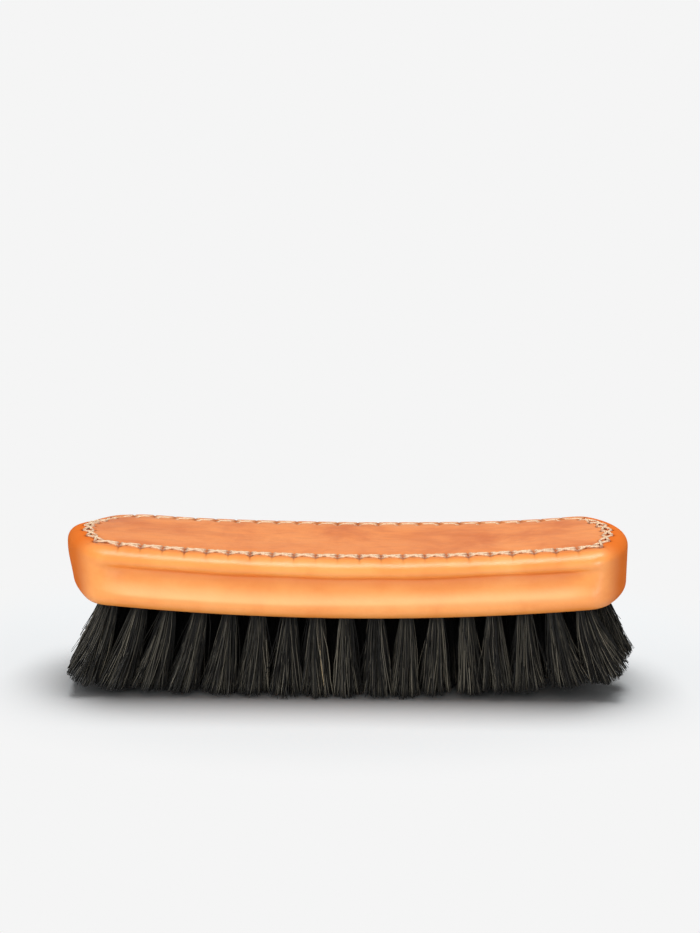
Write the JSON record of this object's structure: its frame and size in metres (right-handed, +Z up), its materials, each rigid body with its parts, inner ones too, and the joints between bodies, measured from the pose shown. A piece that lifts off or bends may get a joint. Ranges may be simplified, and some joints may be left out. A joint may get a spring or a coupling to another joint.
{
  "type": "shoe shine brush",
  "caption": "Hand-held shoe shine brush with a curved, leather-covered back, finger grooves along its sides, a cross-stitched top seam and staggered tufts of dark hair.",
  "frame": {"origin": "middle of the patch of hair tips that the brush rests on, below the middle of the back", "axes": "+X along the brush, +Y across it, +Z up from the hair tips to the leather top"},
  "size_m": [0.182, 0.0566, 0.0502],
  "materials": {
    "beech": "raw, unvarnished",
    "side_leather": "satin natural grain",
    "top_leather": "satin natural grain, lightly mottled",
    "linen_thread": "matt waxed twist",
    "horsehair": "soft sheen",
    "anchor_steel": "bright flat wire"
  },
  "bodies": {
    "root": {"wood_block": "beech", "leather_side_band": "side_leather", "leather_top_panel": "top_leather", "seam_thread_under": "linen_thread", "seam_thread_over": "linen_thread", "tuft_row_1": "horsehair", "tuft_row_2": "horsehair", "tuft_row_3": "horsehair", "tuft_row_4": "horsehair", "tuft_row_5": "horsehair", "anchor_row_1": "anchor_steel", "anchor_row_2": "anchor_steel", "anchor_row_3": "anchor_steel", "anchor_row_4": "anchor_steel", "anchor_row_5": "anchor_steel"}
  },
  "joints": []
}
